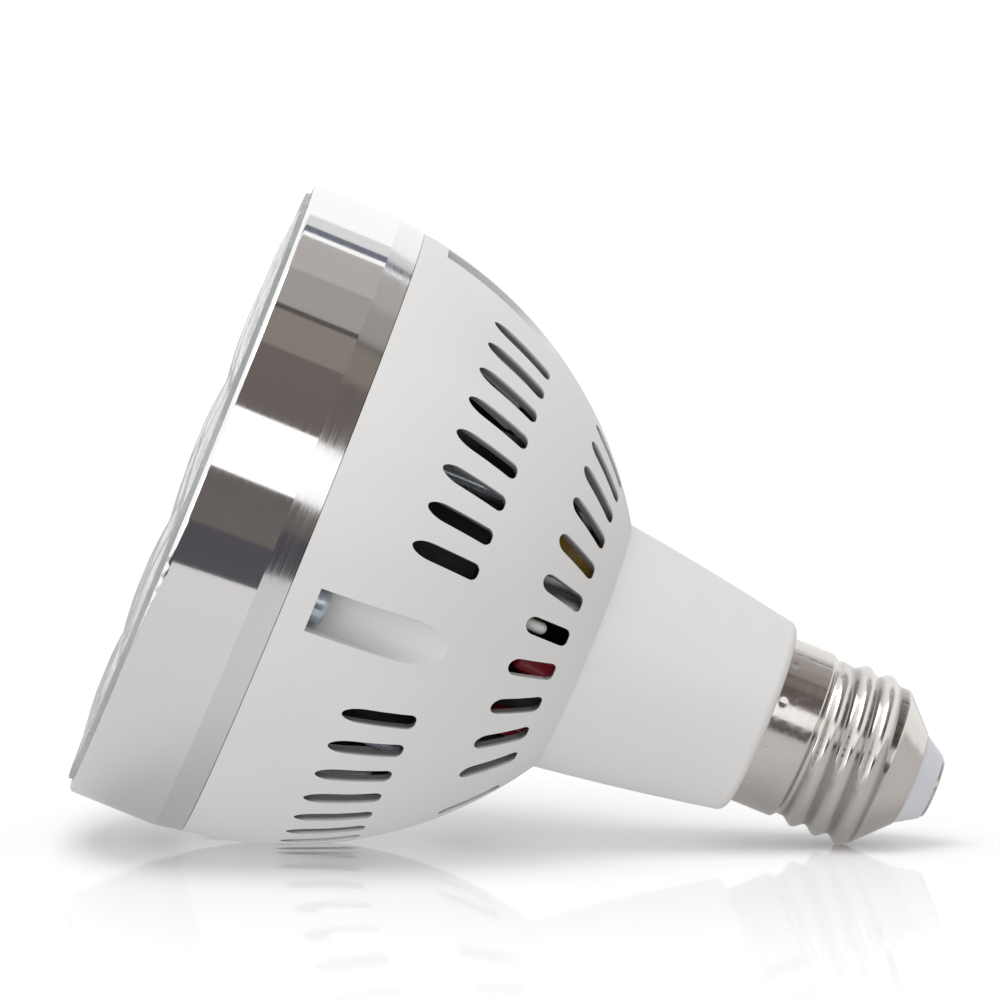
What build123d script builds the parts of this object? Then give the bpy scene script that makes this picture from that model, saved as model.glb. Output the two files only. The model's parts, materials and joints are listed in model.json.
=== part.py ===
from build123d import *
import os
from math import cos, radians, sin, sqrt, tan

# Par spotlight bulb, millimetres. Z runs along the lamp's axis from the lens face towards the cap, the
# origin is the middle of the lens face, and an azimuth is counted from -Y towards +X.

# Polished front ring
RING_R = 48.0
BAND_LENGTH = 13.3
TAPER_LENGTH = 4.2
TAPER_STEP = 0.7
RING_EDGE = 0.8
RING_SKIRT_WALL = 2.1

# Lens plate and its cells
CELL_RISE = 0.8
CELL_FLAT = 0.08
CELL_R = 10.6
CELL_MARGIN = 2.7
PLATE_PROUD = 0.7
PLATE_THICK = 2.2
PLATE_FIT = 0.2
LENS_LIP = 1.5
LEDGE_WIDTH = 2.5
INNER_CELLS = 3
INNER_PITCH_R = 12.6
OUTER_CELLS = 9
CONE_TOP_R = 9.4
CONE_TIP_R = 4.6
CONE_LENGTH = 6.4
CHIP_POCKET_R = 2.7
CHIP_POCKET_DEPTH = 3.0
CONE_GAP = 0.5
OVERLAP = 0.2
THROUGH = 1.0

# Light board and chips
LED_BOARD_THICK = 1.6
LED_BOARD_MARGIN = 1.5
CHIP_SIZE = 3.5
CHIP_THICK = 0.7
CHIP_DOME_R = 1.5
BOARD_SCREW_R = 1.2
BOARD_SCREW_HEAD_R = 2.3
BOARD_SCREW_HEAD = 1.5
BOARD_SCREW_INSET = 11.0
BOARD_SCREW_GAP = 0.2
CHIP_POINT = 0.1
BOARD_SCREWS = 3

# Heat sink behind the light board
SINK_PLATE = 3.4
FINS = 32
FIN_THICK = 1.2
FIN_INNER_R = 12.0
FIN_CLEARANCE = 1.4
FIN_HEIGHT = 15.5
FAN_FROM_FINS = 0.5

# Rear housing
HOUSING_WALL = 1.3
DOME_LENGTH = 44.44
SEAM_ANGLE = 7.0
SPIGOT_DEPTH = 2.5
SPIGOT_WALL = 1.6
SPIGOT_FIT = 0.2
NECK_R = 19.2
NECK_END_R = 15.0
NECK_SWELL = 0.2
NECK_LENGTH = 28.6
NECK_ROUND = 1.7
CAP_FIT = 0.25
CAP_SPIGOT_WALL = 1.6
CAP_SPIGOT_LENGTH = 16.0

# Front row of slots, eight in each quarter
FRONT_SLOT_WIDTH = 2.5
FRONT_SLOT_LENGTH = 5.0
FRONT_SLOT_FROM_SEAM = 3.3
FRONT_SLOTS = 8
FRONT_SLOT_START = 17.5

# Rear row of slots, two places left solid for the driver's posts
REAR_SLOT_WIDTH = 2.6
REAR_SLOT_LENGTH = 7.3
REAR_SLOT_REACH = 3.4
REAR_SLOT_STEP = 12
REAR_SLOTS = 30
POST_AZIMUTHS = (48, 228)

# Screw pockets in the housing
POCKETS = 4
POCKET_R = 3.3
POCKET_INSET = 1.1
POCKET_WALL = 1.6
POCKET_FLOOR = 2.0
SHELF_HEIGHT = 4.1
SINK_POST_R = 3.2
POST_CLEARANCE = 0.4
SCREW_R = 1.45
SCREW_FIT = 0.05
SCREW_HOLE_R = 1.7
SCREW_HEAD_R = 2.8
SCREW_HEAD = 2.0
SCREW_LENGTH = 8.0
SCREW_END_GAP = 0.5
HEAD_ROUND = 0.45
DRIVE_SPAN = 1.1
DRIVE_WIDTH = 0.6
DRIVE_DEPTH = 0.9

# Fan
FAN_CLEARANCE = 1.5
FAN_DEPTH = 15.0
FAN_CORNER = 3.0
FAN_FLANGE = 2.5
FAN_DUCT_INSET = 1.4
FAN_DUCT_WALL = 1.2
FAN_HOLE_INSET = 5.0
FAN_HOLE_R = 2.1
FAN_POST_R = 3.2
FAN_SCREW_BITE = 6.0
HUB_R = 13.0
HUB_WALL = 1.4
HUB_FACE = 1.5
HUB_ROUND = 0.8
HUB_BOSS_WALL = 1.6
HUB_BOSS = 1.5
HUB_SKIN = 0.6
BLADE_INSET = 0.6
BLADES = 7
BLADE_THICK = 1.1
BLADE_TIP_GAP = 0.7
ROOT_PITCH = 38.0
TIP_PITCH = 58.0
AXIAL_PLAY = 0.8
PRESS_GAP = 0.05
YOKE_WALL = 0.8
YOKE_INSET = 0.4
MAGNET_WALL = 1.0
MAGNET_START = 1.5
MAGNET_INSET = 0.8
AIR_GAP = 0.4
SHAFT_R = 1.0
BEARING_FIT = 0.04
BEARING_R = 2.4
BEARING_LENGTH = 8.0
BEARING_END_GAP = 0.3
TUBE_WALL = 0.8
TUBE_RISE = 0.5
MOTOR_BASE_R = 12.5
MOTOR_BASE = 1.5
STRUTS = 4
STRUT_WIDTH = 2.6
STATOR_LENGTH = 4.6
STATOR_LIFT = 1.2
STATOR_SLEEVE = 1.4
SHOE_THICK = 1.2
SHOE_GAP = 1.8
POLE_WIDTH = 3.0
POLES = 4
COIL_THICK = 0.7
COIL_FIT = 0.05
COIL_START = 0.3
COIL_END = 0.8
FAN_BOARD = 1.0

# Driver board and what stands on it
BOARD_FROM_FAN = 5.0
BOARD_THICK = 1.6
BOARD_CLEARANCE = 1.65
BOARD_POST_R = 2.9
BOARD_POST_INSET = 4.2
POST_SCREW_R = 1.0
POST_SCREW_HEAD_R = 2.0
POST_SCREW_HEAD = 1.4
POST_SCREW_BITE = 4.0
POST_SCREW_GAP = 0.3
LEG_LENGTH = 1.2
PIN_R = 0.35
PART_GAP = 0.1
DOME_GAP = 1.7
CORE_WIDTH = 12.5
CORE_DEPTH = 5.0
CORE_HEIGHT = 9.6
CORE_BAR = 2.1
CORE_LEG = 3.6
WINDING_LENGTH = 11.0
FOOT_DEPTH = 2.2
SPREADER_WIDTH = 6.0
SPREADER_HEIGHT = 7.2
SPREADER_THICK = 1.2
TRANSISTOR_WIDTH = 5.2
TRANSISTOR_HEIGHT = 6.0
TRANSISTOR_THICK = 2.4
RED_CAPACITOR = (8.0, 4.0, 7.2)
SMALL_CAPACITOR = (6.6, 3.2, 6.4)
CHOKE_R = 2.9
CHOKE_HEIGHT = 6.8
BULK_CAPACITOR_R = 6.2
BULK_CAPACITOR_HEIGHT = 26.0
BULK_GROOVE = (0.35, 2.2, 3.0)
BRIDGE = (4.0, 9.0, 6.0)

# Screw cap with its thread, insulator and contact
CAP_SKIRT_R = 12.85
CAP_SKIRT_LENGTH = 7.2
CAP_SKIRT_SLOPE = 0.6
CAP_ROOT_R = 12.1
CAP_CREST_R = 13.1
CAP_WALL = 0.35
THREAD_PITCH = 3.629
THREAD_ROUND = 1.2
THREAD_TURNS = 2.7
THREAD_FROM_SKIRT = 1.2
THREAD_ANGLE = 180
CAP_LENGTH = 19.0
SHOULDER_LENGTH = 4.7
CAP_MOUTH_R = 7.3
INSULATOR_INSET = 0.2
INSULATOR_TIP_R = 5.0
INSULATOR_LENGTH = 3.4
INSULATOR_PLUG = 2.4
INSULATOR_FIT = 0.1
INSULATOR_EDGE = 0.4
INSULATOR_STEP = 0.3
CONTACT_INSET = 0.4
CONTACT_THICK = 0.5
CONTACT_PIN_R = 1.1
CONTACT_PIN_REACH = 1.5
CONTACT_ROUND = 0.3

# Wires
THIN_LEAD_R = 0.7
LIGHT_LEAD_R = 0.9
FAN_LEAD_R = 0.5
LEAD_BEND = 3.0
LEAD_FIT = 0.1
LEAD_SPREAD = 1.15
LEAD_FROM_FAN = 3.5
LOOP_AZIMUTH = -12
LOOP_INSET = 1.4
LOOP_REACH = 7.2
LOOP_HEIGHT = 2.7
LEAD_RISE = 2.6
LEAD_SWERVE = 5.0
LEAD_STRIP = 0.4
RED_LEAD_INSET = 2.6
RED_LEAD_AZIMUTH = 6
LIVE_AT = (9.0, 60)
NEUTRAL_AT = (9.0, 250)
LEAD_FROM_NECK_END = 8.0
FAN_LEADS_AT = ((9.0, 180), (9.0, 200))

# Places on the driver board: radius and azimuth, or the azimuth of what stands against the dome
TRANSFORMER_AT = (12.0, -57)
BULK_CAPACITOR_AT = (6.6, 150)
SPREADER_AZIMUTH = -24.5
RED_CAPACITOR_AZIMUTH = 4
CHOKE_AZIMUTH = 23
SMALL_CAPACITOR_AZIMUTH = 40
BRIDGE_AZIMUTH = 100

# Radii that follow from the ring and the cap
SEAM_R = RING_R - TAPER_STEP
SPIGOT_R = SEAM_R - RING_SKIRT_WALL - SPIGOT_FIT
SPIGOT_BORE = SPIGOT_R - SPIGOT_WALL
OUTER_PITCH_R = RING_R - LENS_LIP - PLATE_FIT - CELL_MARGIN - CELL_R
BOARD_SCREW_PITCH_R = OUTER_PITCH_R - BOARD_SCREW_INSET
FIN_OUTER_R = SPIGOT_BORE - FIN_CLEARANCE
POCKET_PITCH_R = SPIGOT_BORE - POCKET_INSET
FRONT_SLOT_OUTER_R = SEAM_R - FRONT_SLOT_FROM_SEAM
FRONT_SLOT_INNER_R = FRONT_SLOT_OUTER_R - FRONT_SLOT_LENGTH
CAP_SPIGOT_R = CAP_ROOT_R - CAP_WALL - CAP_FIT
CAP_SPIGOT_BORE = CAP_SPIGOT_R - CAP_SPIGOT_WALL
INSULATOR_R = CAP_MOUTH_R - INSULATOR_INSET
CONTACT_R = INSULATOR_TIP_R - CONTACT_INSET

# Heights along the axis
PLATE_Z = CELL_RISE
RIM_Z = CELL_RISE + PLATE_PROUD
LEDGE_Z = PLATE_Z + PLATE_THICK
CONE_TIP_Z = LEDGE_Z + CONE_LENGTH
LED_BOARD_Z = CONE_TIP_Z + CONE_GAP
SINK_Z = LED_BOARD_Z + LED_BOARD_THICK
FIN_Z = SINK_Z + SINK_PLATE
FAN_Z = FIN_Z + FIN_HEIGHT + FAN_FROM_FINS
SEAM_Z = RIM_Z + BAND_LENGTH + TAPER_LENGTH
SHELF_Z = SEAM_Z + SHELF_HEIGHT
FAN_END_Z = FAN_Z + FAN_DEPTH
BOARD_Z = FAN_END_Z + BOARD_FROM_FAN
BOARD_TOP_Z = BOARD_Z + BOARD_THICK

# The dome's profile arc, which runs from the seam to the neck
DOME_SPAN = SEAM_R - NECK_R
DOME_LEAN = DOME_SPAN * cos(radians(SEAM_ANGLE)) - DOME_LENGTH * sin(radians(SEAM_ANGLE))
DOME_ARC_R = (DOME_SPAN ** 2 + DOME_LENGTH ** 2) / (2 * DOME_LEAN)
DOME_CENTRE_Z = SEAM_Z - DOME_ARC_R * sin(radians(SEAM_ANGLE))
DOME_CENTRE_R = SEAM_R - DOME_ARC_R * cos(radians(SEAM_ANGLE))


def dome_height(radius, inset=0.0):
    """Height at which the dome's surface, or one inside it, has this radius."""
    arc = DOME_ARC_R - inset
    return DOME_CENTRE_Z + sqrt(arc ** 2 - (radius - DOME_CENTRE_R) ** 2)


def dome_radius(height, inset=0.0):
    """Radius of the dome's surface, or of one inside it, at this height."""
    arc = DOME_ARC_R - inset
    return DOME_CENTRE_R + sqrt(arc ** 2 - (height - DOME_CENTRE_Z) ** 2)


def dome_point(height, inset=0.0):
    """Point of the dome's profile at this height."""
    return (dome_radius(height, inset), 0, height)


def against_dome(azimuth, depth, width, height):
    """Place of a block on the driver board whose outer corners just clear the dome."""
    reach = dome_radius(BOARD_TOP_Z + height, HOUSING_WALL) - DOME_GAP
    return (sqrt(reach ** 2 - (width / 2) ** 2) - depth / 2, azimuth)


# What the dome leaves room for
FAN_ROOM_R = dome_radius(FAN_END_Z, HOUSING_WALL) - FAN_CLEARANCE
FAN_SIZE = round(sqrt(2) * (FAN_ROOM_R - FAN_CORNER) + 2 * FAN_CORNER)
FAN_DUCT_R = FAN_SIZE / 2 - FAN_DUCT_INSET
FAN_HOLE_PITCH = FAN_SIZE - 2 * FAN_HOLE_INSET
BOARD_R = dome_radius(BOARD_TOP_Z, HOUSING_WALL) - BOARD_CLEARANCE
BOARD_POST_PITCH_R = BOARD_R - BOARD_POST_INSET
REAR_SLOT_OUTER_R = BOARD_R + REAR_SLOT_REACH
REAR_SLOT_INNER_R = REAR_SLOT_OUTER_R - REAR_SLOT_LENGTH
LEAD_PITCH_R = FAN_SIZE / 2 + LEAD_FROM_FAN
LOOP_OUTER_R = BOARD_R - LOOP_INSET
LOOP_INNER_R = LOOP_OUTER_R - LOOP_REACH
RED_LEAD_AT = (BOARD_R - RED_LEAD_INSET, RED_LEAD_AZIMUTH)
NECK_Z = SEAM_Z + DOME_LENGTH
NECK_END_Z = NECK_Z + NECK_LENGTH
CAP_END_Z = NECK_END_Z + CAP_LENGTH + SHOULDER_LENGTH
TIP_Z = CAP_END_Z + INSULATOR_LENGTH


def around(radius, azimuth, height=0.0):
    """Place at this radius and azimuth, turned so that local +X points outwards."""
    return Rot(0, 0, azimuth - 90) * Pos(radius, 0, height)


def spot(radius, azimuth, height=0.0):
    """Point at this radius and azimuth."""
    turn = radians(azimuth)
    return (radius * sin(turn), -radius * cos(turn), height)


def turned(*points):
    """Solid of revolution from a straight-sided outline of (radius, height) points."""
    corners = [(r, 0, z) for r, z in points]
    return revolve(make_face(Polyline(*corners, close=True)), Axis.Z)


def rod(radius, bottom, top):
    return Pos(0, 0, bottom) * Cylinder(radius, top - bottom, align=(Align.CENTER, Align.CENTER, Align.MIN))


def pipe(outer, inner, bottom, top):
    return rod(outer, bottom, top) - rod(inner, bottom - 1, top + 1)


def block(length, width, bottom, top, corner=0.0):
    """Upright box on the axis, with rounded upright edges."""
    outline = RectangleRounded(length, width, corner) if corner else Rectangle(length, width)
    return Pos(0, 0, bottom) * extrude(outline, top - bottom)


def lead(radius, *points):
    """Insulated wire along straight runs joined by arcs."""
    corners = [Vector(*p) for p in points]
    bends = []
    for before, here, after in zip(corners, corners[1:], corners[2:]):
        turn = (here - before).get_angle(after - here)
        shorter = min((here - before).length, (after - here).length)
        bends.append(min(LEAD_BEND, 0.45 * shorter / tan(radians(turn / 2))))
    path = FilletPolyline(*points, radius=bends) if bends else Line(*points)
    return sweep(Plane(path @ 0, z_dir=path % 0) * Circle(radius), path=path)


def pan_screw(radius, head_r, head, length):
    """Pan head screw pointing down from its seat at the origin, with a cross drive."""
    shank = rod(radius, -length, 0)
    top = fillet(rod(head_r, 0, head).edges().sort_by(Axis.Z)[-1], head * HEAD_ROUND)
    slot = Box(head_r * DRIVE_SPAN, DRIVE_WIDTH, DRIVE_DEPTH * 2)
    return shank + top - Pos(0, 0, head) * (slot + Rot(0, 0, 90) * slot)


def cell_places():
    """Radius and azimuth of each light cell."""
    inner = [(INNER_PITCH_R, 60 + i * 360 / INNER_CELLS) for i in range(INNER_CELLS)]
    outer = [(OUTER_PITCH_R, 20 + i * 360 / OUTER_CELLS) for i in range(OUTER_CELLS)]
    return inner + outer


def make_lens_plate():
    """Clear plate with a low dome in front of each cell and a light cone behind it."""
    plate = rod(RING_R - LENS_LIP - PLATE_FIT, PLATE_Z, LEDGE_Z)
    rise = CELL_RISE + CELL_FLAT
    ball_r = (CELL_R ** 2 + rise ** 2) / (2 * rise)
    cap = Pos(0, 0, ball_r - CELL_FLAT) * Sphere(ball_r) & rod(CELL_R + THROUGH, 0, PLATE_Z + OVERLAP)
    reach = LEDGE_Z - OVERLAP
    cone = turned(
        (0, reach), (CONE_TOP_R, reach), (CONE_TOP_R, LEDGE_Z), (CONE_TIP_R, CONE_TIP_Z), (0, CONE_TIP_Z)
    )
    for radius, azimuth in cell_places():
        plate += around(radius, azimuth) * cap
        plate += around(radius, azimuth) * cone
    pocket = rod(CHIP_POCKET_R, CONE_TIP_Z - CHIP_POCKET_DEPTH, CONE_TIP_Z + THROUGH)
    for radius, azimuth in cell_places():
        plate -= around(radius, azimuth) * pocket
    return plate


def board_screw_azimuths():
    return [i * 360 / BOARD_SCREWS for i in range(BOARD_SCREWS)]


def make_led_board():
    """Round board on the heat sink's plate, with its screw holes and lead holes."""
    low = LED_BOARD_Z - THROUGH
    high = SINK_Z + THROUGH
    board = rod(RING_R - LENS_LIP - LEDGE_WIDTH - LED_BOARD_MARGIN, LED_BOARD_Z, SINK_Z)
    for azimuth in board_screw_azimuths():
        board -= around(BOARD_SCREW_PITCH_R, azimuth) * rod(BOARD_SCREW_R + BOARD_SCREW_GAP, low, high)
    for side in (-1, 1):
        board -= Pos(side * LEAD_SPREAD, -LEAD_PITCH_R, 0) * rod(LIGHT_LEAD_R + LEAD_FIT, low, high)
    return board


def make_chip():
    """Light chip with its small dome, pointing to the lens."""
    face_z = LED_BOARD_Z - CHIP_THICK
    lower_half = rod(CHIP_DOME_R * 2, face_z - CHIP_DOME_R * 2, face_z + CHIP_POINT)
    dome = Pos(0, 0, face_z) * Sphere(CHIP_DOME_R) & lower_half
    return block(CHIP_SIZE, CHIP_SIZE, face_z, LED_BOARD_Z) + dome


def make_board_screws():
    length = LED_BOARD_THICK + SINK_PLATE
    screw = Rot(180, 0, 0) * pan_screw(BOARD_SCREW_R, BOARD_SCREW_HEAD_R, BOARD_SCREW_HEAD, length)
    return [around(BOARD_SCREW_PITCH_R, azimuth, LED_BOARD_Z) * screw for azimuth in board_screw_azimuths()]


def make_heat_sink():
    """Ring, base plate, fins and screw posts, cast and turned as one piece."""
    lip_r = RING_R - LENS_LIP
    bore_r = lip_r - LEDGE_WIDTH
    skirt_r = SEAM_R - RING_SKIRT_WALL
    band_z = RIM_Z + BAND_LENGTH
    ring = turned(
        (0, SINK_Z), (bore_r, SINK_Z), (bore_r, LEDGE_Z), (lip_r, LEDGE_Z), (lip_r, RIM_Z), (RING_R, RIM_Z),
        (RING_R, band_z), (SEAM_R, SEAM_Z), (skirt_r, SEAM_Z), (skirt_r, FIN_Z), (0, FIN_Z),
    )
    edge = ring.edges().filter_by(GeomType.CIRCLE).filter_by(lambda e: abs(e.radius - RING_R) < 0.01)
    ring = fillet(edge.sort_by(Axis.Z)[0], RING_EDGE)
    ring += sink_fins()
    for i in range(POCKETS):
        post = rod(SINK_POST_R, FIN_Z - OVERLAP, SHELF_Z - POCKET_FLOOR)
        ring += around(POCKET_PITCH_R, i * 360 / POCKETS) * post
        hole = rod(SCREW_R + SCREW_FIT, SHELF_Z - SCREW_LENGTH - SCREW_END_GAP, SHELF_Z)
        ring -= around(POCKET_PITCH_R, i * 360 / POCKETS) * hole
    for x, y in fan_corners():
        hole_z = FAN_Z - FAN_SCREW_BITE - SCREW_END_GAP
        ring += Pos(x, y, 0) * rod(FAN_POST_R, FIN_Z - OVERLAP, FAN_Z)
        ring -= Pos(x, y, 0) * rod(SCREW_R + SCREW_FIT, hole_z, FAN_Z + THROUGH)
    for azimuth in board_screw_azimuths():
        tapped = rod(BOARD_SCREW_R + SCREW_FIT, SINK_Z - THROUGH, FIN_Z + THROUGH)
        ring -= around(BOARD_SCREW_PITCH_R, azimuth) * tapped
    wire_way = extrude(SlotCenterToCenter(LEAD_SPREAD * 2, LIGHT_LEAD_R * 2.5), SINK_PLATE + 2 * THROUGH)
    ring -= Pos(0, -LEAD_PITCH_R, SINK_Z - THROUGH) * wire_way
    return ring


def sink_fins():
    """Radial fins, cut back around the housing's screw pockets and the light board's leads."""
    fin = Pos((FIN_INNER_R + FIN_OUTER_R) / 2, 0, 0) * block(
        FIN_OUTER_R - FIN_INNER_R, FIN_THICK, FIN_Z - OVERLAP, FIN_Z + FIN_HEIGHT
    )
    fins = Part()
    for i in range(FINS):
        fins += around(0, (i + 0.5) * 360 / FINS) * fin
    room = POCKET_R + POCKET_WALL + POST_CLEARANCE
    for i in range(POCKETS):
        fins -= around(POCKET_PITCH_R, i * 360 / POCKETS) * rod(room, SHELF_Z - POCKET_FLOOR, FAN_END_Z)
    lead_way = SlotCenterToCenter(LEAD_SPREAD * 2, (LIGHT_LEAD_R + LEAD_FIT) * 2)
    return fins - Pos(0, -LEAD_PITCH_R, FIN_Z - THROUGH) * extrude(lead_way, FIN_HEIGHT + 2 * THROUGH)


def housing_shell():
    """Dome and neck as one turned wall."""
    spigot_z = SEAM_Z - SPIGOT_DEPTH
    neck_bore = NECK_R - HOUSING_WALL
    bore_z = dome_height(neck_bore, HOUSING_WALL)
    inner_z = dome_height(SPIGOT_BORE, HOUSING_WALL)
    round_z = NECK_END_Z - NECK_ROUND
    middle = ((NECK_R + NECK_END_R) / 2 + NECK_SWELL, 0, (NECK_Z + round_z) / 2)
    shade = NECK_ROUND * (1 - cos(radians(45)))
    floor_z = NECK_END_Z - HOUSING_WALL
    spigot_end = NECK_END_Z + CAP_SPIGOT_LENGTH
    inner_middle = dome_point((inner_z + bore_z) / 2, HOUSING_WALL)
    outline = [
        Line((SPIGOT_BORE, 0, spigot_z), (SPIGOT_R, 0, spigot_z)),
        Line((SPIGOT_R, 0, spigot_z), (SPIGOT_R, 0, SEAM_Z)),
        Line((SPIGOT_R, 0, SEAM_Z), (SEAM_R, 0, SEAM_Z)),
        ThreePointArc((SEAM_R, 0, SEAM_Z), dome_point((SEAM_Z + NECK_Z) / 2), (NECK_R, 0, NECK_Z)),
        ThreePointArc((NECK_R, 0, NECK_Z), middle, (NECK_END_R, 0, round_z)),
        ThreePointArc(
            (NECK_END_R, 0, round_z), (NECK_END_R - shade, 0, NECK_END_Z - shade),
            (NECK_END_R - NECK_ROUND, 0, NECK_END_Z),
        ),
        Polyline(
            (NECK_END_R - NECK_ROUND, 0, NECK_END_Z), (CAP_SPIGOT_R, 0, NECK_END_Z),
            (CAP_SPIGOT_R, 0, spigot_end), (CAP_SPIGOT_BORE, 0, spigot_end), (CAP_SPIGOT_BORE, 0, floor_z),
            (NECK_END_R - HOUSING_WALL, 0, floor_z - HOUSING_WALL), (neck_bore, 0, bore_z),
        ),
        ThreePointArc((neck_bore, 0, bore_z), inner_middle, (SPIGOT_BORE, 0, inner_z)),
        Line((SPIGOT_BORE, 0, inner_z), (SPIGOT_BORE, 0, spigot_z)),
    ]
    return revolve(make_face(outline), Axis.Z)


def dome_core():
    """The space under the dome's outer surface, which trims the bosses."""
    outline = [
        Polyline((0, 0, NECK_Z), (0, 0, SEAM_Z), (SEAM_R, 0, SEAM_Z)),
        ThreePointArc((SEAM_R, 0, SEAM_Z), dome_point((SEAM_Z + NECK_Z) / 2), (NECK_R, 0, NECK_Z)),
        Line((NECK_R, 0, NECK_Z), (0, 0, NECK_Z)),
    ]
    return revolve(make_face(outline), Axis.Z)


def slot_cutter(width, inner_r, outer_r, bottom):
    """Cutter round towards the rim, and level where the dome has the slot's inner radius."""
    half = width / 2
    top = dome_height(inner_r)
    inside_r = dome_radius(top, HOUSING_WALL) - OVERLAP
    straight = outer_r - half - inside_r
    box = Pos(inside_r + straight / 2, 0, 0) * block(straight, width, bottom, top)
    return box + Pos(outer_r - half, 0, 0) * rod(half, bottom, top)


def front_slot_azimuths():
    quarter = 360 / POCKETS
    step = (quarter - 2 * FRONT_SLOT_START) / (FRONT_SLOTS - 1)
    return [q * quarter + FRONT_SLOT_START + k * step for q in range(POCKETS) for k in range(FRONT_SLOTS)]


def rear_slot_azimuths():
    places = [i * REAR_SLOT_STEP for i in range(REAR_SLOTS)]
    return [a for a in places if a not in POST_AZIMUTHS]


def make_rear_housing():
    """White moulding with its vents, screw pockets and the posts that carry the driver board."""
    core = dome_core()
    shell = housing_shell()
    for i in range(POCKETS):
        place = around(POCKET_PITCH_R, i * 360 / POCKETS)
        shell += place * rod(POCKET_R + POCKET_WALL, SHELF_Z - POCKET_FLOOR, NECK_Z) & core
    for azimuth in POST_AZIMUTHS:
        shell += around(BOARD_POST_PITCH_R, azimuth) * rod(BOARD_POST_R, BOARD_TOP_Z, NECK_Z) & core
    cuts = Part()
    for i in range(POCKETS):
        place = around(POCKET_PITCH_R, i * 360 / POCKETS)
        cuts += place * rod(POCKET_R, SHELF_Z, NECK_Z)
        cuts += place * Pos(POCKET_R * 2, 0, 0) * block(POCKET_R * 4, POCKET_R * 2, SHELF_Z, NECK_Z)
        cuts += place * rod(SCREW_HOLE_R, SHELF_Z - POCKET_FLOOR - THROUGH, SHELF_Z + THROUGH)
        spigot_z = SEAM_Z - SPIGOT_DEPTH - THROUGH
        cuts += place * rod(SINK_POST_R + POST_CLEARANCE, spigot_z, SHELF_Z - POCKET_FLOOR)
    for azimuth in front_slot_azimuths():
        cutter = slot_cutter(FRONT_SLOT_WIDTH, FRONT_SLOT_INNER_R, FRONT_SLOT_OUTER_R, SHELF_Z)
        cuts += around(0, azimuth) * cutter
    for azimuth in rear_slot_azimuths():
        cutter = slot_cutter(REAR_SLOT_WIDTH, REAR_SLOT_INNER_R, REAR_SLOT_OUTER_R, FAN_END_Z)
        cuts += around(0, azimuth) * cutter
    for azimuth in POST_AZIMUTHS:
        hole_end = BOARD_TOP_Z + POST_SCREW_BITE + SCREW_END_GAP
        hole = rod(POST_SCREW_R + SCREW_FIT, BOARD_TOP_Z - THROUGH, hole_end)
        cuts += around(BOARD_POST_PITCH_R, azimuth) * hole
    return shell - cuts


def make_housing_screws():
    screw = pan_screw(SCREW_R, SCREW_HEAD_R, SCREW_HEAD, SCREW_LENGTH)
    return [around(POCKET_PITCH_R, i * 360 / POCKETS, SHELF_Z) * screw for i in range(POCKETS)]


def fan_corners():
    half = FAN_HOLE_PITCH / 2
    return [(x, y) for x in (-half, half) for y in (-half, half)]


def make_fan_frame():
    """Square fan frame: two flanges, the duct, the struts, the motor base and the bearing tube."""
    frame = block(FAN_SIZE, FAN_SIZE, FAN_Z, FAN_Z + FAN_FLANGE, FAN_CORNER)
    frame += block(FAN_SIZE, FAN_SIZE, FAN_END_Z - FAN_FLANGE, FAN_END_Z, FAN_CORNER)
    frame += rod(FAN_DUCT_R + FAN_DUCT_WALL, FAN_Z, FAN_END_Z)
    frame -= rod(FAN_DUCT_R, FAN_Z - THROUGH, FAN_END_Z + THROUGH)
    for x, y in fan_corners():
        frame -= Pos(x, y, 0) * rod(FAN_HOLE_R, FAN_Z - THROUGH, FAN_END_Z + THROUGH)
    frame += rod(MOTOR_BASE_R, base_z(), FAN_END_Z)
    span = FAN_DUCT_R - MOTOR_BASE_R + 2 * OVERLAP
    strut = Pos(MOTOR_BASE_R - OVERLAP + span / 2, 0, 0) * block(span, STRUT_WIDTH, base_z(), FAN_END_Z)
    for i in range(STRUTS):
        frame += around(0, (i + 0.5) * 360 / STRUTS) * strut
    tube_z = base_z() - BEARING_LENGTH - TUBE_RISE
    return frame + pipe(tube_outer_r(), BEARING_R + PRESS_GAP, tube_z, base_z() + OVERLAP)


def make_fan_impeller():
    """Hub cup with twisted blades."""
    hub_z = FAN_Z + AXIAL_PLAY
    face_z = hub_z + HUB_FACE
    rear_z = base_z() - AXIAL_PLAY
    hub = rod(HUB_R, hub_z, rear_z) - rod(HUB_R - HUB_WALL, face_z, rear_z + THROUGH)
    hub = fillet(hub.edges().filter_by(GeomType.CIRCLE).sort_by(Axis.Z)[0], HUB_ROUND)
    hub += rod(SHAFT_R + HUB_BOSS_WALL, face_z - OVERLAP, face_z + HUB_BOSS)
    hub -= rod(SHAFT_R + PRESS_GAP / 2, hub_z + HUB_SKIN, rear_z)
    low = hub_z + BLADE_INSET
    high = rear_z - BLADE_INSET
    room = pipe(FAN_DUCT_R - BLADE_TIP_GAP, HUB_R - OVERLAP, low, high)
    blade = blade_blank(HUB_R - 2 * THROUGH, FAN_DUCT_R + 2 * THROUGH, (low + high) / 2) & room
    for i in range(BLADES):
        hub += around(0, i * 360 / BLADES) * blade
    return hub


def blade_blank(root_r, tip_r, height):
    """Flat plate whose pitch grows from root to tip."""
    sections = []
    for radius, pitch in ((root_r, ROOT_PITCH), (tip_r, TIP_PITCH)):
        along = (0, cos(radians(pitch)), sin(radians(pitch)))
        plane = Plane(origin=(radius, 0, height), x_dir=along, z_dir=(1, 0, 0))
        sections.append(plane * Rectangle(FAN_DEPTH * 2, BLADE_THICK))
    return loft(sections, ruled=True)


def yoke_r():
    return HUB_R - HUB_WALL - PRESS_GAP


def magnet_r():
    return yoke_r() - YOKE_WALL - PRESS_GAP


def stator_r():
    return magnet_r() - MAGNET_WALL - AIR_GAP


def rotor_floor():
    return FAN_Z + AXIAL_PLAY + HUB_FACE


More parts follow.
